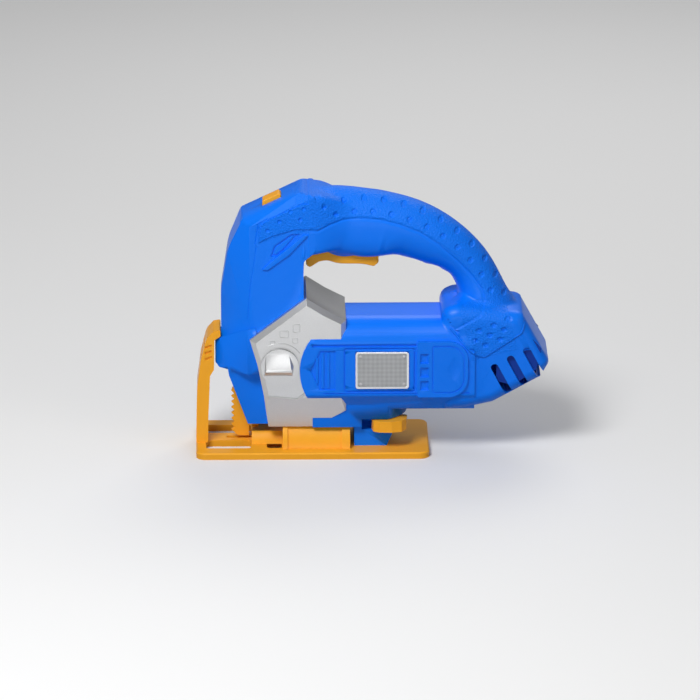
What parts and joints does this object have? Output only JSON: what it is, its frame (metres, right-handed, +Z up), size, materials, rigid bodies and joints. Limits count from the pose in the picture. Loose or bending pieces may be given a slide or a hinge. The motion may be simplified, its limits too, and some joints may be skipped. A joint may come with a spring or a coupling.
{
  "type": "toy jigsaw",
  "caption": "Battery toy jigsaw with a D-handle, rocking trigger, gear-driven toothed blade, selector knob, angle lever and a slotted shoe.",
  "frame": {"origin": "on the floor under the middle of the overall box", "axes": "+Z up, blade end towards -X, tail towards +X, battery door on the +Y side"},
  "size_m": [0.2114, 0.064, 0.1618],
  "materials": {
    "blue_plastic": "moulded ABS, semi-gloss, leather-grained grip zone",
    "silver_paint": "silver painted ABS, satin",
    "plate_chrome": "vacuum-plated rim with a pale printed face",
    "orange_plastic": "moulded ABS, semi-gloss",
    "screw_steel": "zinc plated",
    "axle_steel": "ground",
    "motor_steel": "plated pressed steel",
    "spring_steel": "drawn wire",
    "gear_nylon": "natural nylon",
    "grey_plastic": "moulded",
    "black_plastic": "moulded",
    "contact_brass": "plated strip",
    "cell_jacket": "plain sleeve"
  },
  "bodies": {
    "tool": {"left_housing": "blue_plastic", "right_housing": "blue_plastic", "left_collar": "silver_paint", "right_collar": "silver_paint", "nameplate": "plate_chrome", "side_cover": "blue_plastic", "shoe": "orange_plastic", "saddle": "orange_plastic", "guard": "orange_plastic", "shoe_screws": "screw_steel", "housing_screws": "screw_steel", "crank_axle": "axle_steel", "idler_axle": "axle_steel", "motor_can": "motor_steel", "motor_endcap": "black_plastic", "gearbox_frame": "grey_plastic", "gearbox_cover": "grey_plastic", "gearbox_screws": "screw_steel", "blade_guide": "grey_plastic", "battery_box": "black_plastic", "cell_1": "cell_jacket", "cell_2": "cell_jacket", "front_contact": "contact_brass", "rear_contacts": "contact_brass", "trigger_pin": "axle_steel", "trigger_spring": "spring_steel", "switch_body": "black_plastic", "lock_spring": "spring_steel", "lever_pin": "axle_steel"},
    "door": {"battery_door": "blue_plastic", "door_screw": "screw_steel"},
    "crank": {"crank_gear": "gear_nylon"},
    "idler": {"idler_gear": "gear_nylon"},
    "rotor": {"motor_shaft": "axle_steel", "pinion": "gear_nylon"},
    "blade_slide": {"blade": "orange_plastic", "blade_carrier": "grey_plastic", "blade_screw": "screw_steel"},
    "trigger_body": {"trigger": "orange_plastic"},
    "plunger": {"switch_plunger": "black_plastic"},
    "lock": {"lock_button": "orange_plastic"},
    "knob": {"selector_knob": "silver_paint", "knob_clip": "spring_steel"},
    "lever": {"bevel_lever": "orange_plastic"}
  },
  "joints": [
    {"name": "crank_spin", "type": "hinge", "parent": "tool", "child": "crank", "pos_m": [-0.057, 0, 0.058], "axis": [0, 1, 0], "continuous": true},
    {"name": "idler_spin", "type": "hinge", "parent": "tool", "child": "idler", "pos_m": [-0.04341, 0, 0.0604], "axis": [0, 1, 0], "continuous": true},
    {"name": "rotor_spin", "type": "hinge", "parent": "tool", "child": "rotor", "pos_m": [-0.03159, 0, 0.05831], "axis": [0, 1, 0], "continuous": true},
    {"name": "blade_stroke", "type": "slide", "parent": "tool", "child": "blade_slide", "axis": [0, 0, 1], "range_m": [-0.004, 0.004]},
    {"name": "trigger_pull", "type": "hinge", "parent": "tool", "child": "trigger_body", "pos_m": [-0.0006, 0, 0.127], "axis": [0, 1, 0], "range_deg": [0, 7], "stiffness_Nm_per_rad": 0.6, "springref_deg": -6.88, "deforming": ["trigger_spring"]},
    {"name": "plunger_press", "type": "slide", "parent": "tool", "child": "plunger", "axis": [0, 0, 1], "range_m": [0, 0.00192]},
    {"name": "lock_press", "type": "slide", "parent": "tool", "child": "lock", "axis": [0, 0, -1], "range_m": [0, 0.002], "stiffness_N_per_m": 300, "springref_m": -0.0012, "deforming": ["lock_spring"]},
    {"name": "knob_turn", "type": "hinge", "parent": "tool", "child": "knob", "pos_m": [-0.0555, -0.0263, 0.0567], "axis": [0, 1, 0], "range_deg": [-45, 45]},
    {"name": "lever_swing", "type": "hinge", "parent": "tool", "child": "lever", "pos_m": [0.008, -0.008, 0.018], "axis": [0, 0, -1], "range_deg": [0, 18]},
    {"name": "door_lift", "type": "slide", "parent": "tool", "child": "door", "axis": [0, 1, 0], "range_m": [0, 0.03]}
  ],
  "couplings": [
    {"joint": "idler_spin", "follows": "crank_spin", "ratio": -3.6},
    {"joint": "rotor_spin", "follows": "crank_spin", "ratio": 14.4},
    {"joint": "plunger_press", "follows": "trigger_pull", "m_per_rad": 0.0155}
  ]
}
